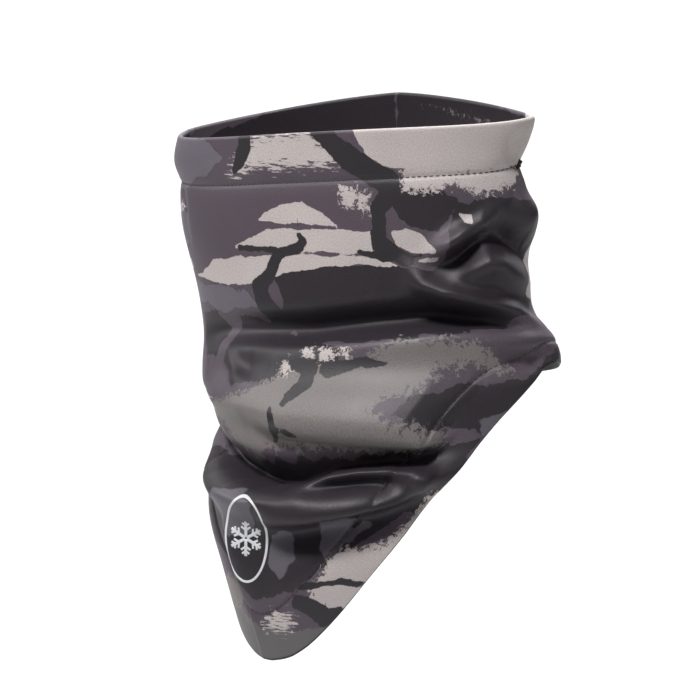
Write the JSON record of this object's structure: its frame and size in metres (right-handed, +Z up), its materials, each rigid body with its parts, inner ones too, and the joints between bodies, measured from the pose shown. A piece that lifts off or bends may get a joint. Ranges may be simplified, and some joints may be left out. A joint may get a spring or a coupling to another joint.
{
  "type": "neck gaiter",
  "caption": "Fleece-backed printed neck gaiter with a stitched rim hem and a pointed chest bib at the front.",
  "frame": {"origin": "on the neck's axis at the base of the neck, where the shoulders carry the lower edge", "axes": "+Z up along the neck, the bib towards -Y, the wearer's left towards +X"},
  "size_m": [0.2406, 0.1533, 0.3121],
  "materials": {
    "print": "satin",
    "print_facing": "satin",
    "fleece": "matte",
    "thread": "satin",
    "emblem_film": "satin",
    "label": "satin"
  },
  "bodies": {
    "root": {"printed_face_fabric": "print", "fleece_lining": "fleece", "rim_facing": "print_facing", "lower_fleece_band": "fleece", "rim_hem_stitching": "thread", "lower_hem_stitching": "thread", "back_seam_stitching": "thread", "emblem_ring": "emblem_film", "emblem_snowflake": "emblem_film", "care_label": "label", "care_label_stitching": "thread"}
  },
  "joints": []
}
